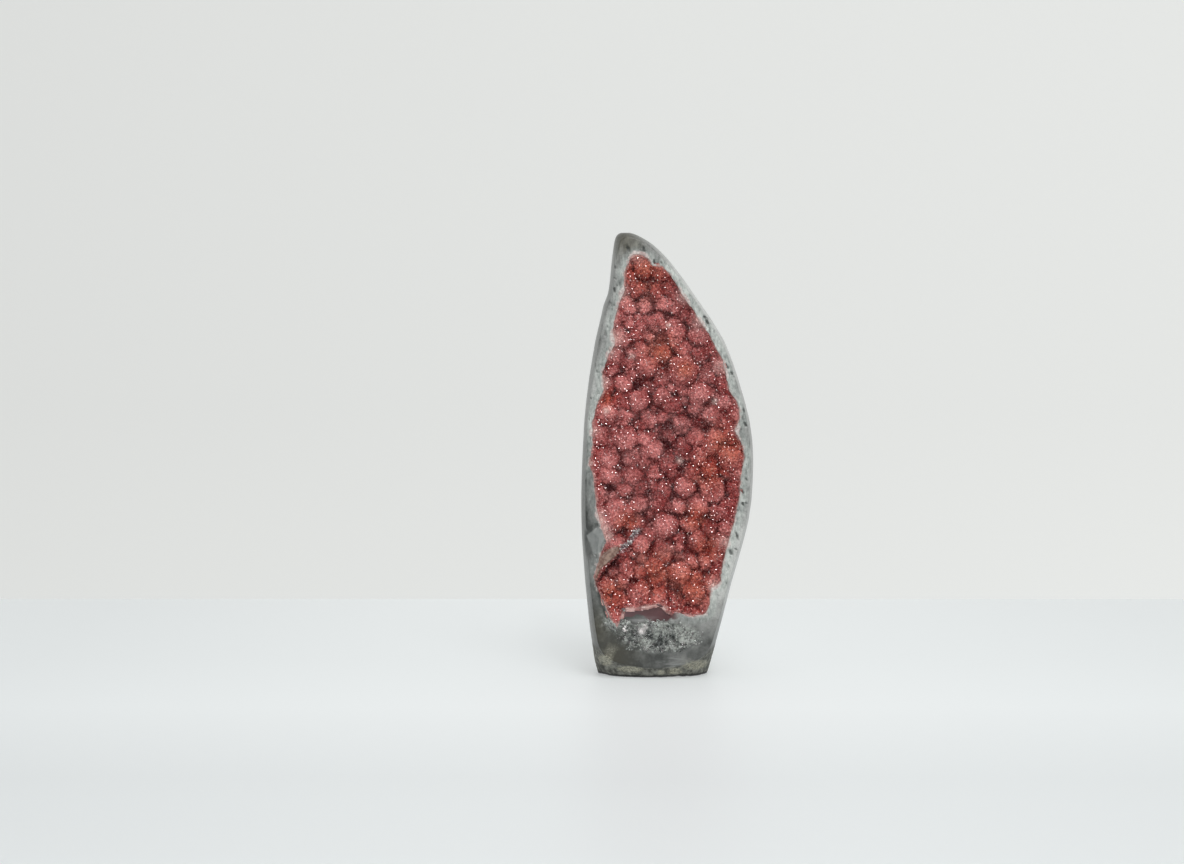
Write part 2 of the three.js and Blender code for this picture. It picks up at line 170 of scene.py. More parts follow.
QUARTZ_SPOTS = [(-28.8, 181.6, 5), (-31.3, 173.8, 3), (-39.4, 131.6, 2.5), (-33.6, 157.7, 2.5),
                (37.3, 132.6, 2.5), (24.5, 49.7, 3), (-15.6, 226.7, 5), (8.4, 203.2, 4), (16.8, 189.5, 4),
                (28.1, 165.9, 4), (-40.8, 114.9, 1.5), (30.1, 72.7, 3), (-36.2, 86.5, 3), (-25.4, 205.1, 4)]
TONGUE_SPOTS = [(-29.5, 31, 5.5), (-21.5, 33, 4)]
OLIVE_SPOTS = [(-37, 27, 10), (-29, 12, 11), (-22, 235, 9)]
PALE_SPOTS = [(-39.6, 155.2, 6), (-42.1, 135.5, 6), (-33.3, 190.4, 4), (39.5, 78.6, 6), (22.7, 196.3, 5)]
PITS = [(41.7, 106.7, 0.7), (39.4, 100.3, 1), (39.9, 93.4, 0.8), (37.3, 90.2, 0.6), (36.7, 76.4, 1.1),
        (33.4, 67.8, 1.2), (31, 166.9, 1), (34, 162.7, 0.8), (40.4, 143.4, 0.9), (41.3, 135.5, 0.9),
        (-28.3, 219.6, 0.9), (-28.6, 207.1, 1), (-21.5, 229.2, 1.1), (-13.1, 229.1, 1), (-7.4, 222.3, 0.9),
        (-35.5, 188.5, 0.9), (20.7, 190.4, 1.1), (19.5, 192.8, 0.9)]
POCKET_WHITE = [(-13.9, 25.8, 2.6), (-12.1, 27.7, 1.6), (-23.4, 26.7, 1.8), (-21, 32, 1.4)]
POCKET_LIGHT = [(-20.5, 30.5, 4.5), (-5.7, 29, 4), (8.1, 25.6, 5), (12.5, 24.1, 4.5), (-33.2, 31, 4),
                (-12.6, 19.7, 2.5)]
POCKET_DARK = [(-4.7, 19.7, 3.2), (-18.5, 24.6, 2.4), (-10.1, 23.6, 2.2), (2.6, 22.6, 2),
               (-20.5, 21.1, 1.6), (-8.7, 28.5, 1.5)]
CREAM_PATCHES = [(-33.3, 9.5, 4.5, 4.5), (-20, 4.8, 8.5, 2.4), (-3.5, 3.2, 2.5, 1.7), (4, 3.8, 5, 2.4),
                 (15, 6.8, 8.5, 3.8)]

# Outlines on the sawn face, low on the left: a smooth ledge over a dark slot, clear points, and a flake.
LEDGE = [(-39.3, 53.2), (-36.8, 64.6), (-32.6, 68.8), (-26.4, 70.8), (-25.3, 68.4), (-31.6, 61.8),
         (-35.8, 58.8), (-38.6, 52.4)]
SLOT = [(-38.4, 50.8), (-33.6, 56.6), (-26.6, 64.8)]
VUG = [(-25.4, 68), (-20.5, 72), (-16, 78.4)]
FLAKE = [(-43.5, 76.4), (-37, 82), (-33.6, 75.9), (-36.2, 68.8), (-39.4, 65.7)]
GROOVE = [(-36.8, 47.8), (-35.2, 40.3), (-32.6, 33.4)]
SCAR = [(-26.1, 36.9), (-23.4, 40.3), (-9.7, 43.3), (-3.8, 43.3), (2.1, 38.3), (7.7, 35), (6.5, 33),
        (1.1, 31.5), (-6.4, 29.8), (-9.5, 30.8), (-12.6, 33), (-15.9, 34), (-20.5, 33), (-24.5, 33.6)]
STREAK_MIDDLE, STREAK_REACH = (1, 9.5), (12, 5)

# How light the rock is, from 0 to 1, at heights up its left and right sides, and where the two meet.
# Partly the rock's own tone, partly painted light: the right side lighter and the left darker, as the light
# falls from the right.
LEFT_TONE_AND_LIGHT = [(0, 0.04), (20, 0.0), (35, 0.1), (62, 0.24), (85, 0.22), (110, 0.31), (140, 0.64),
             (180, 0.58), (205, 0.54), (222, 0.44), (230, 0.12), (237, 0.0)]
RIGHT_TONE_AND_LIGHT = [(0, 0.1), (22, 0.2), (45, 0.86), (65, 0.98), (90, 0.68), (130, 0.54), (180, 0.9), (215, 0.9),
              (230, 0.44), (237, 0.05)]
MIDDLE_LINE = [(0, -7), (60, -2), (110, 0), (180, -4), (237, -22)]


def face_y(z):
    return FACE_AT_BASE + z * math.tan(FACE_LEAN)


def bump(distance, reach):
    """1 at no distance, falling off smoothly over the reach."""
    return np.exp(-((distance / reach) ** 2))


def ramp(value, low, high):
    """0 below low, 1 above high, smooth between."""
    t = np.clip((value - low) / (high - low), 0, 1)
    return t * t * (3 - 2 * t)


def noise_at(points, size, octaves=3, seed=0.0):
    """Fractal noise of about -1 to 1, for points and a size in millimetres."""
    shift = Vector((seed, -seed, 2 * seed))
    return np.array([fractal(Vector(p) / size + shift, 1.0, 2.0, octaves) for p in points])


def rough(points, weight, size, octaves, seed):
    """Noise times a weight, worked out only where there is any weight."""
    result = np.zeros(len(points))
    chosen = weight > 0.01
    result[chosen] = weight[chosen] * noise_at(points[chosen], size, octaves, seed)
    return result


def from_line(x, z, places):
    """The distance from a line through some places on the face."""
    nearest = np.full(np.shape(x), np.inf)
    for (x0, z0), (x1, z1) in zip(places, places[1:]):
        share = ((x - x0) * (x1 - x0) + (z - z0) * (z1 - z0)) / ((x1 - x0) ** 2 + (z1 - z0) ** 2)
        share = np.clip(share, 0, 1)
        nearest = np.minimum(nearest, np.hypot(x - x0 - share * (x1 - x0), z - z0 - share * (z1 - z0)))
    return nearest


def inside_by(x, z, outline):
    """How far inside an outline on the face: negative outside it."""
    closed = outline + outline[:1]
    inside = np.zeros(np.shape(x), bool)
    for (x0, z0), (x1, z1) in zip(closed, closed[1:]):
        if z0 != z1:
            inside ^= ((z0 > z) != (z1 > z)) & (x < x0 + (z - z0) / (z1 - z0) * (x1 - x0))
    return np.where(inside, 1, -1) * from_line(x, z, closed)


def near_spots(x, z, spots):
    """How near each place is to the closest of some spots: 1 at a spot, 0 well away from all."""
    near = np.zeros(np.shape(x))
    for across, up, reach in spots:
        near = np.maximum(near, bump(np.hypot(x - across, z - up), reach))
    return near


def new_material(name):
    material = bpy.data.materials.new(name)
    material.use_nodes = True
    nodes = material.node_tree.nodes
    return material, nodes, material.node_tree.links, nodes["Principled BSDF"]


def new_object(name, mesh, material, replaced):
    piece = bpy.data.objects.new(name, mesh)
    bpy.context.scene.collection.objects.link(piece)
    mesh.materials.clear()
    mesh.materials.append(material)
    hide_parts(replaced)
    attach(piece, "root")
    return piece


def new_mesh(name, points, faces):
    mesh = bpy.data.meshes.new(name)
    mesh.from_pydata((points * MM).tolist(), [], faces)
    return mesh


def set_points(mesh, points):
    mesh.vertices.foreach_set("co", (points * MM).astype(np.float32).ravel())
    mesh.update()


def get_points(mesh):
    flat = np.zeros(len(mesh.vertices) * 3, np.float32)
    mesh.vertices.foreach_get("co", flat)
    return flat.reshape(-1, 3).astype(float) / MM


def get_normals(mesh):
    flat = np.zeros(len(mesh.vertices) * 3, np.float32)
    mesh.vertices.foreach_get("normal", flat)
    return flat.reshape(-1, 3).astype(float)


def add_attribute(mesh, name, values):
    mesh.attributes.new(name, "FLOAT", "POINT").data.foreach_set("value", np.asarray(values, np.float32))


def add_attributes(mesh, facts):
    for name, values in facts.items():
        add_attribute(mesh, name, values)


def get_attribute(mesh, name):
    values = np.zeros(len(mesh.vertices), np.float32)
    mesh.attributes[name].data.foreach_get("value", values)
    return values


def tree_of(obj):
    points = get_points(obj.data)
    faces = [tuple(p.vertices) for p in obj.data.polygons]
    return BVHTree.FromPolygons(points.tolist(), faces)


# Rock


def welded_copy(obj, name):
    mesh = obj.data.copy()
    mesh.name = name
    cut = bmesh.new()
    cut.from_mesh(mesh)
    bmesh.ops.remove_doubles(cut, verts=cut.verts, dist=1e-6)
    cut.to_mesh(mesh)
    cut.free()
    return mesh


def with_modifier(mesh, kind, weight=None, **settings):
    """The mesh after one modifier, which acts on each point as far as its weight allows."""
    holder = bpy.data.objects.new("holder", mesh)
    bpy.context.scene.collection.objects.link(holder)
    modifier = holder.modifiers.new("step", kind)
    for key, value in settings.items():
        setattr(modifier, key, value)
    if weight is not None:
        group = holder.vertex_groups.new(name="weight")
        modifier.vertex_group = group.name
        levels = 40
        level_of = np.round(weight * levels).astype(int)
        for level in range(1, levels + 1):
            group.add(np.nonzero(level_of == level)[0].tolist(), level / levels, "REPLACE")
    shown = holder.evaluated_get(bpy.context.evaluated_depsgraph_get())
    result = bpy.data.meshes.new_from_object(shown)
    bpy.data.objects.remove(holder)
    return result


def relaxed(mesh, points, weight):
    """Moves each point towards the middle of its neighbours, again and again, as far as its weight allows."""
    set_points(mesh, points)
    smooth = with_modifier(mesh, "SMOOTH", weight, factor=0.5, iterations=GRIND_ROUNDS)
    return get_points(smooth)


def ground_smooth(mesh):
    """Takes the facets out of the ground sides and back, and keeps their bulge."""
    points = get_points(mesh)
    behind = points[:, 1] - face_y(points[:, 2])
    weight = ramp(behind, 0.3, CREASE) * ramp(points[:, 2], 0.2, 2.0)
    soft = relaxed(mesh, points, weight)
    return soft + relaxed(mesh, points - soft, weight)


def distance_to_crust(points, behind, tree):
    """The distance of each point near the sawn face from the crust, plus its depth behind the face."""
    farthest = 20.0
    distance = np.full(len(points), farthest)
    for i in np.nonzero(behind < farthest / 2)[0]:
        distance[i] = min(farthest, tree.find_nearest(Vector(points[i]))[3] + max(0.0, behind[i]))
    return distance


def within(points, middle, reach):
    """How far inside an ellipse on the face: 1 at its middle and 0 at its edge."""
    across = (points[:, 0] - middle[0]) / reach[0]
    up = (points[:, 2] - middle[1]) / reach[1]
    return np.clip(1 - np.hypot(across, up), 0, 1)


def tone_and_light_at(points, edge):
    """How light the rock is: partly its own tone, partly painted light. Its left side gets painted shade on
    the outside of the rim.
    """
    x, z = points[:, 0], points[:, 2]
    middle = np.interp(z, *zip(*MIDDLE_LINE))
    side = ramp(x - middle, -22, 22)
    left, right = np.interp(z, *zip(*LEFT_TONE_AND_LIGHT)), np.interp(z, *zip(*RIGHT_TONE_AND_LIGHT))
    # Painted shade on the outside of the left rim, which turns away from the light.
    left = left - 0.2 * ramp(edge, 3.5, 7) * ramp(z, 50, 90) * ramp(z, 225, 205)
    return left + (right - left) * side


def pit_list(points, edge, behind):
    """The named pits and more at random along the rim: across, up, radius."""
    rim = np.nonzero((behind < 0.4) & (edge > 1.2) & (edge < 5.5) & (points[:, 2] > 42))[0]
    chosen = points[RANDOM.choice(rim, RANDOM_PITS)]
    sizes = RANDOM.uniform(*PIT_RADIUS, RANDOM_PITS)
    return PITS + [(x, z, size) for (x, _, z), size in zip(chosen, sizes)]


def pit_reach(x, z, radius, angle):
    """How far from the middle of a long narrow pit, which slants: 1 at its edge."""
    along = math.cos(angle) * z + math.sin(angle) * x
    across = math.cos(angle) * x - math.sin(angle) * z
    return np.hypot(across / radius, along / (PIT_LENGTH * radius))


def dig_pits(points, edge, behind):
    """Gas bubbles that the saw opened. Says how deep in a pit each point is, from 0 to 1."""
    depth = np.zeros(len(points))
    front = behind < 4
    x, z = points[front, 0], points[front, 2]
    found = np.zeros(len(x))
    ragged = 1 + 0.45 * noise_at(points[front], 1.6, 2, 15.0)
    for across, up, radius in pit_list(points, edge, behind):
        reach = ragged * pit_reach(x - across, z - up, 0.8 * radius, RANDOM.uniform(*PIT_SLANT))
        strength = min(1.0, radius / 0.8)
        found = np.maximum(found, strength * np.sqrt(np.maximum(0, 1 - reach * reach)))
    found = np.maximum(found, bump(ragged * from_line(x, z, GROOVE), 1.0))
    depth[front] = found * ramp(behind[front], 2.5, 1.0)
    points[:, 1] += PIT_DEPTH * depth
    return depth


def chip_foot(points, z):
    """Small chips along the front edge of the sawn base."""
    at_foot = ramp(-points[:, 1], 5, 12) * ramp(3.0 - z, 0, 3.0)
    chips = np.maximum(0, rough(points, at_foot, 14.0, 4, 12.0))
    points[:, 2] += CHIP_DEPTH * chips
    points[:, 1] += 0.5 * chips + 0.5 * ramp(z, 0.8, 0) * at_foot


def cream_at(points, behind):
    cream = np.zeros(len(points))
    for across, up, wide, tall in CREAM_PATCHES:
        cream = np.maximum(cream, ramp(within(points, (across, up), (wide, tall)), 0, 0.4))
    return cream * ramp(behind, 20, 10)


def scar_at(points, x, z, behind):
    """How much of the smooth scar there is at each point: frayed at its edge, and fading to the right."""
    inside = inside_by(x, z, SCAR)
    near = ramp(inside, -1.5, 0) * ramp(behind, 8, 6)
    fray = rough(points, near, 3.0, 3, 27.0)
    return near * ramp(x, 9, 1) * ramp(inside + 0.9 * fray, -0.25, 0.35)


def build_rock(material, crust_tree):
    mesh = with_modifier(welded_copy(ROCK, "rock"), "REMESH", mode="VOXEL", voxel_size=ROCK_VOXEL * MM)
    points = ground_smooth(mesh)
    set_points(mesh, points)
    normals = get_normals(mesh)
    x, z = points[:, 0].copy(), points[:, 2].copy()
    behind = points[:, 1] - face_y(z)
    edge = distance_to_crust(points, behind, crust_tree)
    on_face = ramp(behind, 1.5, 0.5)

    # The edge of the hollow is uneven, and the rim round it is finely pitted.
    near_edge = bump(edge, 1.6) * bump(behind, 2.0)
    points[:, 0] += EDGE_SWAY * rough(points, near_edge, 3.2, 3, 4.0)
    points[:, 2] += EDGE_SWAY * rough(points, near_edge, 3.2, 3, 9.0)
    ring = ramp(edge, 5.0, 3.2) * on_face * ramp(z, 30, 40)
    points[:, 1] += RING_DEPTH * np.abs(rough(points, ring, 1.5, 3, 21.0))
    pit = dig_pits(points, edge, behind)

    # The natural skin low on the front, and the broken rock in the pocket, are rough.
    band = ramp(z, BAND_TOP, BAND_TOP - 6) * ramp(behind, 0.25, 1.0) * ramp(z, 0.1, 1.2)
    pocket = ramp(within(points, POCKET_MIDDLE, POCKET_REACH), 0.0, 0.45) * ramp(behind, 6, 4)
    broken = np.maximum(pocket, 0.7 * (near_spots(x, z, TONGUE_SPOTS) * on_face))
    white = near_spots(x, z, POCKET_WHITE)
    lift = SKIN_LIFT * rough(points, band, 4.0, 5, 2.0) + BROKEN_LIFT * rough(points, broken, 3.2, 5, 7.0)
    lift += WHITE_LIFT * white * broken
    points -= normals * np.maximum(lift, -0.05)[:, None]
    chip_foot(points, z)
    set_points(mesh, np.clip(points, BOX_LOW, BOX_HIGH))

    add_attributes(mesh, {
        "edge": edge,
        "on_face": on_face,
        "tone_and_light": tone_and_light_at(points, edge),
        "pit": pit,
        "flake": ramp(inside_by(x, z, FLAKE), -0.2, 0.4) * ramp(behind, 12, 6),
        "quartz": near_spots(x, z, QUARTZ_SPOTS) * on_face,
        "band": band,
        "cream": cream_at(points, behind),
        "pocket": broken,
        "white": white * broken,
        "light": near_spots(x, z, POCKET_LIGHT) * broken,
        "dark": near_spots(x, z, POCKET_DARK) * broken,
        "olive": near_spots(x, z, OLIVE_SPOTS),
        "pale": near_spots(x, z, PALE_SPOTS) * on_face,
        "streak": ramp(within(points, STREAK_MIDDLE, STREAK_REACH), 0, 0.6),
        # Painted shadow along the bottom edge of the base.
        "foot": ramp(z, 1.7, 0.8),
        "scar": scar_at(points, x, z, behind),
    })
    share = ROCK_TRIANGLES / sum(len(p.vertices) - 2 for p in mesh.polygons)
    if share < 1:
        mesh = with_modifier(mesh, "DECIMATE", ratio=share)
    mesh.shade_smooth()
    return new_object("rock", mesh, material, "host_rock")


# Crust


def blurred(field, known, sigma):
    """A Gaussian blur of a grid that only mixes its known cells."""
    reach = int(math.ceil(3 * sigma))
    kernel = np.exp(-0.5 * (np.arange(-reach, reach + 1) / sigma) ** 2)
    total, weight = np.where(known, field, 0.0), known.astype(float)
    for axis in (0, 1):
        total = np.apply_along_axis(np.convolve, axis, total, kernel, "same")
        weight = np.apply_along_axis(np.convolve, axis, weight, kernel, "same")
    return total / np.maximum(weight, 1e-9)


def crust_grid(tree):
    """The crust's depth behind the sawn face, on a grid across its front."""
    low, high = [np.array(corner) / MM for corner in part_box("crystal_crust")]
    across = np.arange(low[0] - BED_MARGIN, high[0] + BED_MARGIN, BED_STEP)
    up = np.arange(low[2] - BED_MARGIN, high[2] + BED_MARGIN, BED_STEP)
    depth = np.full((len(up), len(across)), np.nan)
    forward = Vector((0, 1, 0))
    for row, z in enumerate(up):
        for column, x in enumerate(across):
            hit = tree.ray_cast(Vector((x, low[1] - 10, z)), forward)[0]
            if hit is not None:
                depth[row, column] = hit.y - face_y(z)
    return across, up, depth


def rosette_list(x, z, inside):
    """The named rosettes, and smaller ones at random that fill the gaps between them."""
    rosettes = [np.array(rosette) for rosette in ROSETTES]
    spots = np.column_stack([x[inside], z[inside]])
    smallest, largest = ROSETTE_RADIUS
    for i in range(ROSETTE_TRIES):
        radius = largest + (smallest - largest) * i / ROSETTE_TRIES
        spot = spots[RANDOM.integers(len(spots))]
        known = np.array(rosettes)
        gap = np.linalg.norm(known[:, :2] - spot, axis=1)
        if (gap > ROSETTE_OVERLAP * (known[:, 2] + radius)).all():
            rosettes.append(np.array([*spot, radius]))
    return rosettes


def with_rosettes(depth, inside, x, z):
    """The crust's broad form with round rosettes on it, and how near each place is to a rosette's top, which
    is painted lighter.
    """
    broad = blurred(depth, inside, BROAD_SIZE / BED_STEP)
    everywhere = np.ones_like(inside)
    for axis in (x, z):
        sway = blurred(RANDOM.normal(size=depth.shape), everywhere, SWAY_SIZE / BED_STEP)
        axis += ROSETTE_SWAY * sway / sway.std()
    raised, frosted_and_lit = np.zeros(depth.shape), np.zeros(depth.shape)
    for i, (across, up, radius) in enumerate(rosette_list(x, z, inside)):
        spare = np.maximum(0, 1 - ((x - across) ** 2 + (z - up) ** 2) / radius ** 2)
        named = i < len(ROSETTES)
        stature = RANDOM.uniform(1.0, 1.25) if named else RANDOM.uniform(0.55, 0.95)
        # Each rosette's top is painted lighter: partly the white of its crystal tips, partly painted
        # highlight.
        frost_and_light = RANDOM.uniform(0.6, 1.0) if named else RANDOM.uniform(0.15, 0.9)
        height = (ROSETTE_LIFT * radius * stature * spare ** 0.7) ** ROSETTE_MERGE
        raised += height
        frosted_and_lit += frost_and_light * spare * height
    lift = raised ** (1 / ROSETTE_MERGE)
    front = broad + ROSETTE_DEPTH - lift + OLD_RELIEF * (depth - broad)
    return front, frosted_and_lit / np.maximum(raised, 1e-9)


def shape_bed(depth, x, z):
    """Rounds the crust's facets, sinks it by the height of the points, and finds its crevices and its rim."""
    inside = ~np.isnan(depth)
    depth = np.where(inside, depth, 0.0)
    spread = blurred(inside.astype(float), np.ones_like(inside), 1.2 / BED_STEP)
    rim = np.clip(2 * spread - 1, 0, 1)
    soft, crown = with_rosettes(blurred(depth, inside, 0.9 / BED_STEP), inside, x.copy(), z.copy())
    soft, crown = [blurred(field, inside, 0.5 / BED_STEP) for field in (soft, crown)]
    near = blurred(soft, inside, 1.5 / BED_STEP)
    wide = blurred(soft, inside, 3.0 / BED_STEP)
    broad = blurred(soft, inside, 9.0 / BED_STEP)
    over = soft - FRONT_GAP
    within_rim = ramp(rim, 0, 0.5)
    bed = FRONT_GAP + 0.5 * (over + np.hypot(over, 0.9)) * (0.3 + 0.7 * within_rim) + 0.3 * rim
    deep = ramp(0.9 * (soft - near) + 0.45 * (soft - wide) + 0.35 * (wide - broad), -1.1, 1.9)

    ledge = ramp(inside_by(x, z, LEDGE), -0.3, 0.5)
    slot = bump(from_line(x, z, SLOT), 1.5) * (1 - ledge)
    vug = bump(from_line(x, z, VUG), 2.0) * (1 - ledge)
    shelf = LEDGE_DEPTH + LEDGE_FALL * (x - LEDGE[0][0])
    bed = bed + (shelf - bed) * ledge + SLOT_DEPTH * slot + VUG_DEPTH * vug
    # The crevices, the slot under the ledge and the dark spots are painted darker: painted shade, in the
    # crevices partly the crust's own deeper red.
    deep = deep * (0.3 + 0.7 * within_rim)
    deep = np.clip(np.maximum(deep, slot) + DARK_RED_AND_SHADE_SHARE * near_spots(x, z, DARK_RED_AND_SHADE_SPOTS), 0, 1)
    return {"bed": np.maximum(bed, 0.25), "deep": deep, "rim": rim, "ledge": ledge, "vug": vug,
            "crown": crown, "known": spread > 0.06}


class Bed:
    """The bed that the crystal points grow from: an open sheet, and what is known about each corner."""

    def __init__(self, material, tree):
        across, up, depth = crust_grid(tree)
        x, z = np.meshgrid(across, up)
        shape = shape_bed(depth, x, z)
        known = shape.pop("known")
        self.facts = {name: values[known] for name, values in shape.items()}
        x, z = x[known], z[known]
        points = np.column_stack([x, self.facts.pop("bed") + face_y(z), z])
        lumps = np.array([voronoi(Vector(p) / LUMP_SIZE)[0][0] for p in points])
        points[:, 1] += LUMP_DEPTH * lumps * self.facts["rim"] * (1 - self.facts["ledge"])
        index = np.full(known.shape, -1)
        index[known] = np.arange(len(x))
        corners = np.stack([index[:-1, :-1], index[:-1, 1:], index[1:, 1:], index[1:, :-1]], axis=-1)
        corners = corners.reshape(-1, 4)
        self.facts["warm"] = near_spots(x, z, WARM_SPOTS)
        self.facts["frosted_and_lit"] = near_spots(x, z, FROSTED_AND_LIT_SPOTS)
        self.facts["white"] = np.maximum(near_spots(x, z, WHITE_SPOTS), 0.6 * near_spots(x, z, QUARTZ_SPOTS))
        mesh = new_mesh("crystal_bed", points, corners[(corners >= 0).all(axis=1)].tolist())
        add_attributes(mesh, self.facts)
        mesh.shade_smooth()
        self.object = new_object("crystal_bed", mesh, material, "crystal_crust")


def triangles_of(mesh):
    mesh.calc_loop_triangles()
    flat = np.zeros(len(mesh.loop_triangles) * 3, np.int32)
    mesh.loop_triangles.foreach_get("vertices", flat)
    return flat.reshape(-1, 3)


def scattered(mesh, count, weight):
    """Random places on a mesh, evenly over its area where the weight is 1: owners, places and normals."""
    corners = triangles_of(mesh)
    points = get_points(mesh)
    a, b, c = (points[corners[:, i]] for i in range(3))
    area = np.linalg.norm(np.cross(b - a, c - a), axis=1)
    share = area * weight[corners].mean(axis=1)
    pick = RANDOM.choice(len(corners), count, p=share / share.sum())
    u, v = RANDOM.random((2, count, 1))
    u, v = np.where(u + v > 1, 1 - u, u), np.where(u + v > 1, 1 - v, v)
    spots = a[pick] + u * (b[pick] - a[pick]) + v * (c[pick] - a[pick])
    return corners[pick][:, 0], spots, unit(get_normals(mesh)[corners[pick]].mean(axis=1))


def unit(vectors):
    return vectors / np.linalg.norm(vectors, axis=1)[:, None]


def beside(axes):
    """Two directions square to each axis and to each other."""
    helper = np.where(np.abs(axes[:, 2:3]) < 0.8, [[0.0, 0.0, 1.0]], [[1.0, 0.0, 0.0]])
    one = unit(np.cross(axes, helper))
    return one, np.cross(axes, one)


def crystals(spots, axes, radius, levels, turn, unevenness=0.22):
    """Pointed crystals: rings at some levels along the axis, and a tip at the last level."""
    count, sides = len(spots), POINT_SIDES
    one, two = beside(axes)
    turn = turn[:, None] + np.arange(sides) * math.tau / sides
    reach = radius[:, None] * (1 + unevenness * RANDOM.uniform(-1, 1, (count, sides)))
    ring = (np.cos(turn) * reach)[..., None] * one[:, None] + (np.sin(turn) * reach)[..., None] * two[:, None]
    rings = [ring + (spots + axes * level[:, None])[:, None] for level in levels[:-1]]
    tips = spots + axes * levels[-1][:, None]
    points = np.concatenate(rings + [tips[:, None]], axis=1).reshape(-1, 3)

    each = sides * len(rings) + 1
    first = (np.arange(count) * each)[:, None]
    side = np.arange(sides)
    follow = (side + 1) % sides
    faces = []
    for level in range(len(rings) - 1):
        low, high = first + level * sides, first + (level + 1) * sides
        walls = np.stack([low + side, low + follow, high + follow, high + side], axis=-1)
        faces += walls.reshape(-1, 4).tolist()
    top = first + (len(rings) - 1) * sides
    tip = np.broadcast_to(first + each - 1, (count, sides))
    faces += np.stack([top + side, top + follow, tip], axis=-1).reshape(-1, 3).tolist()
    return points, faces, np.tile(np.append(np.zeros(each - 1), 1.0), count)


def crystal_mesh(name, points, faces, tip, facts):
    """A mesh of many crystals. Each fact has one value for every crystal."""
    mesh = new_mesh(name, np.clip(points, BOX_LOW, BOX_HIGH), faces)
    add_attribute(mesh, "tip", tip)
    for key, values in facts.items():
        add_attribute(mesh, key, np.repeat(values, len(points) // len(values)))
    return mesh


def sizes_between(low, high, count):
    """Random sizes, more of them small than large."""
    return low + (high - low) * RANDOM.random(count) ** 1.5


def build_points(name, kind, bed, material):
    """A sugary layer of short six-sided points all over the bed."""
    facts = bed.facts
    weight = ramp(facts["rim"], 0.1, 0.5) * (1 - facts["ledge"]) * (1 - 0.6 * facts["vug"])
    owner, spots, normals = scattered(bed.object.data, kind["count"], weight)
    axes = unit(normals + POINT_TILT * RANDOM.normal(size=normals.shape))
    radius = sizes_between(*kind["radius"], kind["count"])
    height = kind["slenderness"] * radius
    levels = [-0.5 * radius, height]
    if kind is LARGE_POINT:
        levels = [-0.5 * radius, 0.25 * height, height]
    turn = RANDOM.uniform(0, math.tau, len(spots))
    points, faces, tip = crystals(spots, axes, radius, levels, turn)
    shown = {key: values[owner] for key, values in facts.items()}
    shown["shade"] = RANDOM.random(len(spots))
    mesh = crystal_mesh(name, points, faces, tip, shown)
    return new_object(name, mesh, material, "crystal_crust")


def well_apart(spots, spacing, count):
    """The first of the spots that keep clear of each other."""
    kept = []
    for i, spot in enumerate(spots):
        if len(kept) < count and all(np.linalg.norm(spots[kept] - spot, axis=1) > spacing):
            kept.append(i)
    return kept


def build_glints(bed, material):
    """Clean points with one facet turned so that it mirrors the small lamp to the camera."""
    facts = bed.facts
    weight = ramp(facts["rim"], 0.3, 0.8) * (1 - facts["ledge"]) * (1.05 - facts["deep"]) ** 2
    owner, spots, normals = scattered(bed.object.data, 5 * GLINTS, weight)
    kept = well_apart(spots, GLINT_SPACING, GLINTS)
    owner, spots, normals = owner[kept], spots[kept], normals[kept]
    radius = sizes_between(*GLINT_RADIUS, len(kept))
    to_camera = unit(np.array(CAMERA_PLACE) / MM - spots)
    to_lamp = unit(np.array(SPARKLE_PLACE) / MM - spots)
    facet = unit(to_camera + to_lamp)
    slope = math.atan(GLINT_HEIGHT / math.cos(math.pi / POINT_SIDES))
    aside = unit(normals - (normals * facet).sum(axis=1)[:, None] * facet)
    axes = math.cos(slope) * facet + math.sin(slope) * aside
    one, two = beside(axes)
    turn = np.arctan2((facet * two).sum(axis=1), (facet * one).sum(axis=1)) + math.pi / POINT_SIDES
    levels = [-GLINT_STEM * radius, 0 * radius, GLINT_HEIGHT * radius]
    points, faces, tip = crystals(spots, axes, radius, levels, turn, 0)
    points += np.repeat(GLINT_LIFT * normals, len(points) // len(kept), axis=0)
    shown = {"warm": facts["warm"][owner], "deep": facts["deep"][owner]}
    mesh = crystal_mesh("crystal_glints", points, faces, tip, shown)
    return new_object("crystal_glints", mesh, material, "crystal_crust")


def build_quartz(name, spots, normals, radius, white, material, replaced):
    """Small slender quartz points of their own."""
    axes = unit(normals + 0.5 * RANDOM.normal(size=normals.shape))
    levels = [-0.4 * radius, 0.3 * radius, 1.4 * radius]
    turn = RANDOM.uniform(0, math.tau, len(spots))
    points, faces, tip = crystals(spots, axes, radius, levels, turn, 0.4)
    across, up = spots[:, 0], spots[:, 2]
    light = near_spots(across, up, POCKET_LIGHT) - near_spots(across, up, POCKET_DARK)
    shown = {"shade": RANDOM.random(len(spots)), "white": white, "light": light}
    return new_object(name, crystal_mesh(name, points, faces, tip, shown), material, replaced)


def build_pocket_points(rock, grey, clear):
    """Small grey and clear quartz points on the broken rock under the crust."""
    mesh = rock.data
    places = get_points(mesh)
    weight = get_attribute(mesh, "pocket") ** 1.5
    white = near_spots(places[:, 0], places[:, 2], POCKET_WHITE)
    patchy = ramp(rough(places, np.sign(np.maximum(weight - 0.02, 0)), 4.5, 3, 33.0), -0.1, 0.35)
    weight = weight * (0.02 + patchy + 2 * white)
    _, spots, normals = scattered(mesh, POCKET_POINTS, weight)
    is_clear = RANDOM.random(POCKET_POINTS) < CLEAR_SHARE
    for name, chosen, material in (("pocket_points", ~is_clear, grey), ("clear_points", is_clear, clear)):
        radius = sizes_between(*QUARTZ_RADIUS, int(chosen.sum()))
        white = near_spots(*spots[chosen][:, [0, 2]].T, POCKET_WHITE)
        build_quartz(name, spots[chosen], normals[chosen], radius, white, material, "host_rock")


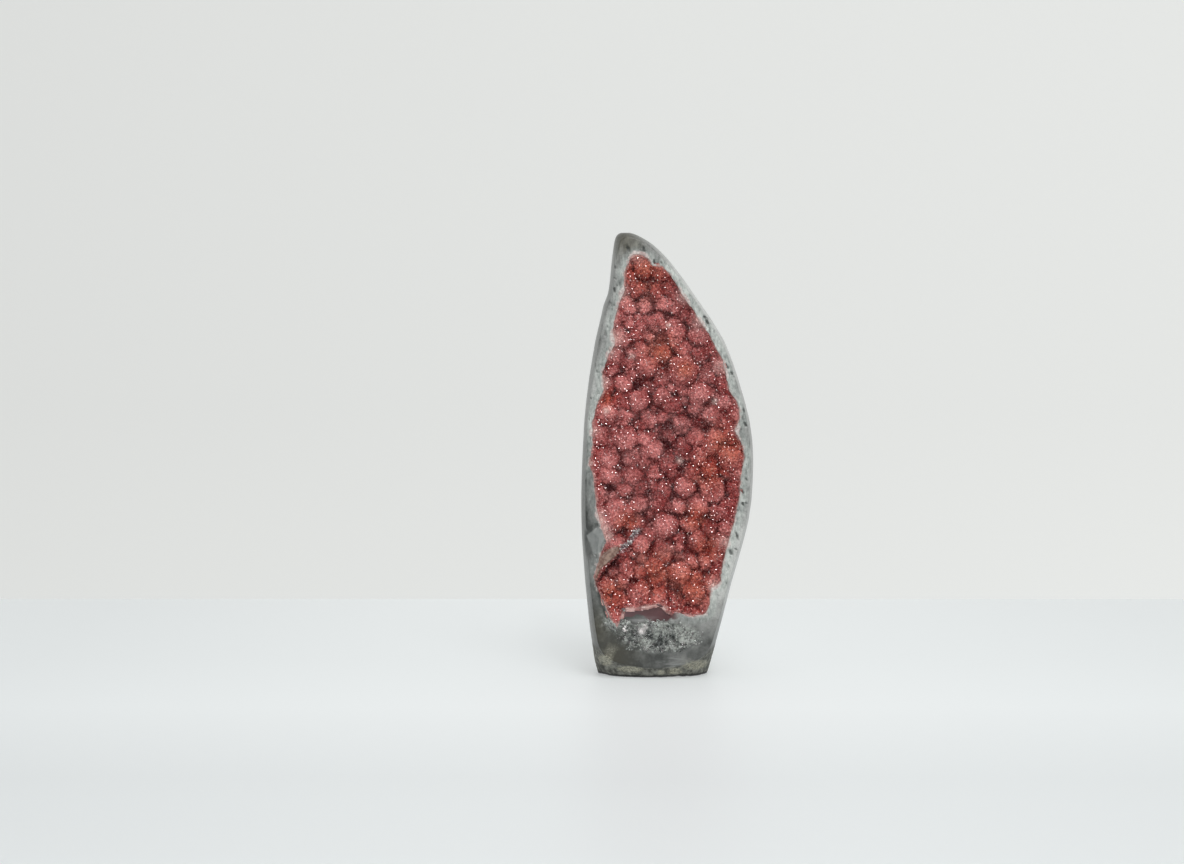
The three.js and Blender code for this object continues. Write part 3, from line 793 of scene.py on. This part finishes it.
def build_vug_points(bed, grey, clear):
    """Clearer points in the gap beyond the ledge."""
    _, spots, normals = scattered(bed.object.data, VUG_POINTS, ramp(bed.facts["vug"], 0.2, 0.9))
    radius = sizes_between(*VUG_RADIUS, VUG_POINTS)
    half = VUG_POINTS // 2
    white = np.full(half, VUG_WHITENESS)
    for name, part, material in (("vug_points", slice(half), grey), ("vug_clear", slice(half, None), clear)):
        build_quartz(name, spots[part], normals[part], radius[part], white, material,
                     "crystal_crust")


# Materials


class Shader:
    """Shorthand for a procedural material's nodes."""

    def __init__(self, name):
        self.material, self.nodes, self.links, self.surface = new_material(name)
        self.place = self.nodes.new("ShaderNodeTexCoord").outputs["Object"]

    def link(self, source, target):
        self.links.new(source, target)

    def put(self, socket, value):
        if hasattr(value, "is_output"):
            self.links.new(value, socket)
        else:
            socket.default_value = value

    def attribute(self, name):
        node = self.nodes.new("ShaderNodeAttribute")
        node.attribute_name = name
        return node.outputs["Fac"]

    def noise(self, size, detail=4.0, roughness=0.6, distortion=0.0, stretch=None):
        node = self.nodes.new("ShaderNodeTexNoise")
        node.inputs["Scale"].default_value = 1 / (size * MM)
        node.inputs["Detail"].default_value = detail
        node.inputs["Roughness"].default_value = roughness
        node.inputs["Distortion"].default_value = distortion
        place = self.place
        if stretch:
            mapping = self.nodes.new("ShaderNodeMapping")
            mapping.inputs["Scale"].default_value = stretch
            self.link(self.place, mapping.inputs["Vector"])
            place = mapping.outputs["Vector"]
        self.link(place, node.inputs["Vector"])
        return node.outputs["Fac"]

    def fit(self, value, low, high, to_low=0.0, to_high=1.0):
        node = self.nodes.new("ShaderNodeMapRange")
        self.put(node.inputs["Value"], value)
        node.inputs["From Min"].default_value = low
        node.inputs["From Max"].default_value = high
        node.inputs["To Min"].default_value = to_low
        node.inputs["To Max"].default_value = to_high
        return node.outputs["Result"]

    def math(self, kind, one, two=0.0):
        node = self.nodes.new("ShaderNodeMath")
        node.operation = kind
        self.put(node.inputs[0], one)
        self.put(node.inputs[1], two)
        return node.outputs[0]

    def mix(self, factor, one, two):
        node = self.nodes.new("ShaderNodeMix")
        node.data_type = "RGBA"
        self.put(node.inputs["Factor"], factor)
        self.put(node.inputs[6], one)
        self.put(node.inputs[7], two)
        return node.outputs[2]

    def bump(self, height, distance, strength=1.0):
        node = self.nodes.new("ShaderNodeBump")
        node.inputs["Distance"].default_value = distance * MM
        node.inputs["Strength"].default_value = strength
        self.link(height, node.inputs["Height"])
        self.link(node.outputs["Normal"], self.surface.inputs["Normal"])

    def finish(self, body, roughness, ior):
        for name, value in (("Base Color", body), ("Roughness", roughness), ("IOR", ior)):
            self.put(self.surface.inputs[name], value)
        return self.material


def colour(red, green, blue):
    """A colour as a screen shows it, from 0 to 255, turned to linear light."""
    def linear(c):
        c = c / 255
        return c / 12.92 if c <= 0.04045 else ((c + 0.055) / 1.055) ** 2.4
    return (linear(red), linear(green), linear(blue), 1.0)


def red_quartz():
    s = Shader("red_quartz")
    deep, warm, shade = s.attribute("deep"), s.attribute("warm"), s.attribute("shade")
    deep = s.math("MULTIPLY", deep, s.fit(s.noise(7, 4.0), 0.38, 0.62, 0.55, 1.2))
    patches = s.fit(s.noise(11, 4.0), 0.38, 0.62)
    cool = s.mix(patches, colour(144, 46, 46), colour(176, 78, 76))
    hot = s.mix(patches, colour(156, 50, 40), colour(188, 82, 66))
    body = s.mix(warm, cool, hot)
    # Crevices painted darker: partly the crust's own deeper red, partly painted shade.
    crevice_red_and_shade = s.mix(warm, colour(76, 17, 21), colour(100, 23, 17))
    body = s.mix(s.fit(deep, 0.3, 0.88), body, crevice_red_and_shade)
    body = s.mix(s.fit(shade, 0.0, 0.5, 0.85, 0.0), body, colour(84, 20, 20))
    # Lighter rosette tops: partly the white of the crystal tips, partly painted highlight.
    frosting_and_highlight = s.fit(s.attribute("crown"), 0.08, 0.68)
    frosting_and_highlight = s.math("MULTIPLY", frosting_and_highlight, s.fit(s.noise(9, 4.0), 0.38, 0.62, 0.4, 1.5))
    frosting_and_highlight = s.math("MULTIPLY", frosting_and_highlight, s.fit(warm, 0, 1, 1.0, 0.6))
    frosting_and_highlight = s.math("ADD", frosting_and_highlight, s.math("MULTIPLY", s.attribute("frosted_and_lit"), 0.4))
    frosting_and_highlight = s.math("MULTIPLY", frosting_and_highlight, s.fit(shade, 0.2, 1.0, 0.3, 1.0))
    body = s.mix(frosting_and_highlight, body, s.mix(warm, colour(228, 147, 143), colour(230, 136, 110)))
    bright = s.mix(warm, colour(222, 144, 140), colour(226, 136, 110))
    body = s.mix(s.fit(shade, 0.84, 1.0, 0.0, 0.7), body, bright)
    whiteness = s.math("MULTIPLY", s.attribute("white"), s.fit(shade, 0.0, 1.0, 0.45, 1.0))
    body = s.mix(whiteness, body, colour(246, 216, 208))
    at_rim = s.fit(s.attribute("rim"), 0.0, 0.55, 1, 0)
    rim = s.math("MULTIPLY", at_rim, s.fit(s.noise(4), 0.42, 0.6, 0.15, 0.7))
    body = s.mix(rim, body, colour(214, 176, 168))
    clear = s.mix(s.fit(shade, 0.2, 0.8), colour(116, 62, 66), colour(204, 178, 182))
    body = s.mix(s.fit(s.attribute("vug"), 0.3, 0.9, 0, 0.85), body, clear)
    agate = s.mix(s.fit(s.noise(2.2, 4.0), 0.4, 0.6), colour(112, 84, 74), colour(154, 128, 114))
    body = s.mix(s.attribute("ledge"), body, agate)
    return s.finish(body, 0.14, QUARTZ_IOR)


def glassy_quartz():
    """The clean points that sparkle."""
    s = Shader("glassy_quartz")
    body = s.mix(s.attribute("warm"), colour(196, 104, 102), colour(204, 104, 86))
    # Darker in the crevices: partly the crust's own deeper red, partly painted shade.
    body = s.mix(s.attribute("deep"), body, colour(96, 26, 28))
    body = s.mix(s.fit(s.attribute("tip"), 0, 1, 0, 0.5), body, colour(240, 206, 200))
    return s.finish(body, 0.06, GLINT_IOR)


def grey_quartz():
    """The small points in the pocket."""
    s = Shader("grey_quartz")
    light = s.fit(s.attribute("light"), -1, 1, -0.8, 0.75)
    patches = s.math("ADD", s.fit(s.noise(3, 4.0), 0.36, 0.64), light)
    body = s.mix(patches, colour(50, 54, 52), colour(172, 176, 170))
    body = s.mix(s.fit(s.attribute("shade"), 0.75, 1.0, 0, 0.6), body, colour(204, 206, 202))
    body = s.mix(s.fit(s.attribute("white"), 0.3, 0.8), body, colour(246, 241, 239))
    return s.finish(body, 0.15, QUARTZ_IOR)


def clear_quartz():
    s = Shader("clear_quartz")
    body = s.mix(s.attribute("tip"), colour(236, 228, 228), colour(252, 250, 250))
    s.surface.inputs["Transmission Weight"].default_value = 0.9
    return s.finish(body, 0.05, QUARTZ_IOR)


def mottled_grey(s, on_face, height):
    """The smooth sides: their colour, how light they are (their own tone and painted light), their mottling
    and their grain.
    """
    mottle = s.noise(5, 7.0, 0.68)
    grain = s.noise(0.9, 4.0, 0.7)
    grown = s.fit(s.noise(2.6, 5.0, 0.65, 0.6, (1.8, 1, 0.42)), 0, 1, -0.3, 0.3)
    grown = s.math("MULTIPLY", grown, s.fit(height, 40 * MM, 60 * MM))
    mottle = s.math("ADD", s.fit(mottle, 0, 1, 0.25, 0.85), grown)
    spread = s.fit(s.attribute("tone_and_light"), 0.0, 0.8, 0.1, 0.36)
    spread = s.math("MULTIPLY", spread, s.fit(on_face, 0, 1, 0.6, 1))
    mottle = s.math("MULTIPLY", s.fit(mottle, 0.37, 0.73, -1, 1), spread)
    broad = s.math("MULTIPLY", s.fit(s.noise(11, 3.0), 0.35, 0.65, -0.1, 0.1), on_face)
    tone_and_light = s.math("ADD", s.attribute("tone_and_light"), mottle)
    tone_and_light = s.math("ADD", tone_and_light, s.fit(s.attribute("pale"), 0, 1, 0, 0.28))
    tone_and_light = s.math("ADD", tone_and_light, broad)
    body = s.mix(tone_and_light, colour(52, 54, 51), colour(194, 195, 191))
    olive = s.mix(tone_and_light, colour(62, 57, 41), colour(164, 160, 136))
    body = s.mix(s.fit(s.attribute("olive"), 0, 1, 0, 0.7), body, olive)
    body = s.mix(s.fit(grain, 0.5, 0.75, 0, 0.45), body, colour(70, 76, 74))
    return body, tone_and_light, mottle, grain


def with_rim(s, body, tone_and_light, edge, on_face):
    """The rim next to the crust: finely pitted, greener and lighter than the sides, with a line of quartz."""
    ring = s.math("MULTIPLY", s.fit(edge, 5.0, 3.4), on_face)
    speckle = s.fit(s.noise(1.7, 4.0, 0.65, 0, (1.3, 1, 0.6)), 0.4, 0.66)
    light = s.mix(tone_and_light, colour(96, 101, 97), colour(206, 210, 204))
    dark = s.mix(tone_and_light, colour(66, 72, 69), colour(146, 152, 147))
    pitted = s.mix(speckle, light, dark)
    dashes = s.noise(1.5, 3.0, 0.6, 0.4, (1.6, 1, 0.6))
    pitted = s.mix(s.fit(dashes, 0.6, 0.7, 0, 0.8), pitted, colour(84, 92, 88))
    body = s.mix(s.math("MULTIPLY", ring, s.fit(tone_and_light, 0.2, 0.6, 0.25, 0.85)), body, pitted)
    wider = s.fit(s.attribute("quartz"), 0, 1, 0, 1.7)
    width = s.math("ADD", s.fit(s.noise(3, 5.0), 0.4, 0.66, -0.2, 1.1), wider)
    line = s.fit(s.math("SUBTRACT", edge, width), 0.0, 1.0, 0.85, 0.0)
    white = s.mix(s.fit(s.noise(1.2, 5.0, 0.7), 0.4, 0.6), colour(222, 212, 206), colour(178, 150, 146))
    return s.mix(s.math("MULTIPLY", line, on_face), body, white)


def with_skin(s, body):
    """The natural skin at the foot, with cream crumbs and pale streaks on it."""
    skin = s.mix(s.fit(s.noise(3, 5.0, 0.7), 0.42, 0.62), colour(72, 72, 66), colour(134, 134, 126))
    body = s.mix(s.attribute("band"), body, skin)
    crumbs = s.math("MULTIPLY", s.attribute("cream"), s.fit(s.noise(1.2, 5.0, 0.75), 0.44, 0.6, 0.15, 1.0))
    body = s.mix(crumbs, body, colour(176, 173, 154))
    streaks = s.fit(s.noise(1.2, 3.0, 0.6, 0, (0.12, 1, 1)), 0.5, 0.66, 0, 0.6)
    streaks = s.math("MULTIPLY", s.attribute("streak"), streaks)
    return s.mix(streaks, body, colour(150, 152, 150))


def broken_rock(s):
    """The rough rock in the pocket, with white lumps and dark gaps."""
    lumps = s.noise(2.2, 6.0, 0.7)
    lifted = s.math("ADD", lumps, s.fit(s.attribute("light"), 0, 1, -0.02, 0.2))
    broken = s.mix(s.fit(lifted, 0.42, 0.62), colour(54, 58, 55), colour(176, 180, 173))
    ragged = s.fit(s.noise(2.4, 6.0, 0.75), 0.3, 0.7, -0.55, 0.55)
    pale = s.fit(s.math("ADD", s.attribute("white"), ragged), 0.4, 0.6)
    broken = s.mix(pale, broken, s.mix(s.fit(lumps, 0.4, 0.6), colour(220, 219, 217), colour(250, 249, 247)))
    shaded = s.fit(s.math("ADD", s.attribute("dark"), ragged), 0.35, 0.7, 0, 0.85)
    return s.mix(shaded, broken, colour(42, 46, 46))


def mauve_scar(s, edge, across, height):
    """The scar is darker to the right, darker at its foot where it faces down, a painted shade, and paler
    next to the crust.
    """
    mauve = s.mix(s.fit(across, -10 * MM, -20 * MM), colour(98, 60, 62), colour(120, 84, 87))
    # Painted shade: darker low on the scar, where it faces down.
    mauve = s.mix(s.fit(height, 36 * MM, 28 * MM), mauve, colour(70, 48, 50))
    return s.mix(s.fit(edge, 0.3, 0.9, 0.45, 0), mauve, colour(186, 148, 144))


def polished_rock():
    s = Shader("polished_rock")
    edge, on_face = s.attribute("edge"), s.attribute("on_face")
    place = s.nodes.new("ShaderNodeSeparateXYZ")
    s.link(s.place, place.inputs[0])
    across, height = place.outputs["X"], place.outputs["Z"]
    body, tone_and_light, mottle, grain = mottled_grey(s, on_face, height)
    body = with_rim(s, body, tone_and_light, edge, on_face)
    flake = s.mix(s.fit(mottle, -0.1, 0.1), colour(122, 125, 123), colour(142, 144, 141))
    body = s.mix(s.attribute("flake"), body, flake)
    body = with_skin(s, body)
    body = s.mix(s.attribute("pocket"), body, broken_rock(s))
    body = s.mix(s.attribute("scar"), body, mauve_scar(s, edge, across, height))
    # Painted shade in the pits and the groove, darker the deeper in.
    body = s.mix(s.fit(s.attribute("pit"), 0.1, 0.9, 0, 0.75), body, colour(46, 50, 48))
    # Painted shadow: a dark line along the bottom edge, where the base meets the table.
    body = s.mix(s.fit(s.attribute("foot"), 0, 1, 0, 0.95), body, colour(20, 21, 21))
    s.link(body, s.surface.inputs["Base Color"])
    rough_skin = s.fit(s.attribute("band"), 0, 1, 0.28, 0.7)
    s.link(s.math("ADD", rough_skin, s.fit(grain, 0.4, 0.7, 0, 0.12)), s.surface.inputs["Roughness"])
    s.bump(s.math("ADD", grain, mottle), 0.07, 0.35)
    return s.material


def pale_paint_and_painted_light(name, tint, *steps):
    """Pale paint that glows a little, as painted light. Each step changes the glow between two places along
    an axis.
    """
    s = Shader(name)
    place = s.nodes.new("ShaderNodeSeparateXYZ")
    s.link(s.place, place.inputs[0])
    s.surface.inputs["Emission Color"].default_value = (0.97, 0.99, 0.98, 1.0)
    glow = 1.0
    for axis, places, change in steps:
        glow = s.math("MULTIPLY", s.fit(place.outputs[axis], *places, *change), glow)
    s.link(glow, s.surface.inputs["Emission Strength"])
    return s.finish(colour(*tint), 0.5, PAINT_IOR)


# Stage


def sheet(name, profile, material):
    """A sheet that runs from side to side: its profile gives places as (y, z)."""
    points = [(x, y, z) for y, z in profile for x in (-STAGE_REACH, STAGE_REACH)]
    faces = [(2 * i, 2 * i + 1, 2 * i + 3, 2 * i + 2) for i in range(len(profile) - 1)]
    mesh = bpy.data.meshes.new(name)
    mesh.from_pydata(points, [], faces)
    mesh.shade_smooth()
    mesh.materials.append(material)
    piece = bpy.data.objects.new(name, mesh)
    bpy.context.scene.collection.objects.link(piece)


def build_stage():
    """A pale table with a rounded far edge, and a pale wall well behind it, both glowing with painted light.
    """
    edge = [(TABLE_EDGE + TABLE_BEND * math.sin(a), TABLE_BEND * (math.cos(a) - 1))
            for a in np.linspace(0, math.pi / 2, 12)]
    table = [(TABLE_FRONT, 0.0), *edge, (TABLE_EDGE + TABLE_BEND, -TABLE_DROP)]
    # The table's glow is painted light: strongest round the specimen's foot, where it lifts the shade, and
    # weaker to the front, the back and both sides.
    steps = [("Y", (-0.3, -0.12), (0.27, 0.352)), ("Y", (-0.1, 0.04), (1, 0.96)),
             ("X", (-0.35, -0.05), (0.82, 1)), ("X", (0.0, 0.3), (1, 0.84))]
    paint = pale_paint_and_painted_light("table_paint", (187, 191, 192), *steps)
    sheet("floor", [(float(y), float(z)) for y, z in table], paint)
    # The wall's glow is painted light: lighter to the right, where the light falls from, and a little lighter
    # low down.
    steps = [("X", (-1.0, 0.9), WALL_PAINTED_LIGHT), ("Z", (-0.36, -0.05), (1.06, 1))]
    paint = pale_paint_and_painted_light("wall_paint", (190, 190, 186), *steps)
    sheet("wall", [(WALL_PLACE, WALL_TOP), (WALL_PLACE, WALL_FOOT)], paint)


def add_light(name, place, size, strength):
    """A round light that faces the specimen. Its strength is its brightness as seen."""
    light = bpy.data.lights.new(name, "AREA")
    light.shape = "DISK"
    light.size = size
    light.energy = strength * math.pi * (math.pi * size * size / 4)
    lamp = bpy.data.objects.new(name, light)
    lamp.location = place
    lamp.rotation_euler = (Vector((0, 0, 0.12)) - lamp.location).to_track_quat("-Z", "Y").to_euler()
    bpy.context.scene.collection.objects.link(lamp)


def build_lights():
    world = bpy.data.worlds.new("soft_room")
    bpy.context.scene.world = world
    world.use_nodes = True
    background = world.node_tree.nodes["Background"]
    background.inputs["Color"].default_value = (0.97, 0.985, 1.0, 1)
    background.inputs["Strength"].default_value = 0.45
    add_light("overhead", (0.1, 0.0, 1.9), 1.3, 1.0)
    add_light("key", (0.5, -1.6, 2.3), 1.5, 5.0)
    add_light("front", (0.0, -2.4, 0.9), 1.2, 2.0)
    add_light("sparkle", SPARKLE_PLACE, 0.14, 56)


def build_camera():
    data = bpy.data.cameras.new("camera")
    data.lens = CAMERA_LENS
    data.sensor_width = CAMERA_SENSOR
    camera = bpy.data.objects.new("camera", data)
    camera.location = CAMERA_PLACE
    camera.rotation_euler = (CAMERA_TILT, 0, 0)
    bpy.context.scene.collection.objects.link(camera)
    bpy.context.scene.camera = camera


build_camera()
crust_tree = tree_of(CRUST)
rock = build_rock(polished_rock(), crust_tree)
grey, clear = grey_quartz(), clear_quartz()
build_pocket_points(rock, grey, clear)
druse = red_quartz()
bed = Bed(druse, crust_tree)
build_vug_points(bed, grey, clear)
build_points("fine_points", SMALL_POINT, bed, druse)
build_points("small_points", SMALL_POINT, bed, druse)
build_points("large_points", LARGE_POINT, bed, druse)
build_glints(bed, glassy_quartz())
build_stage()
build_lights()
bpy.context.scene.view_settings.view_transform = "Standard"
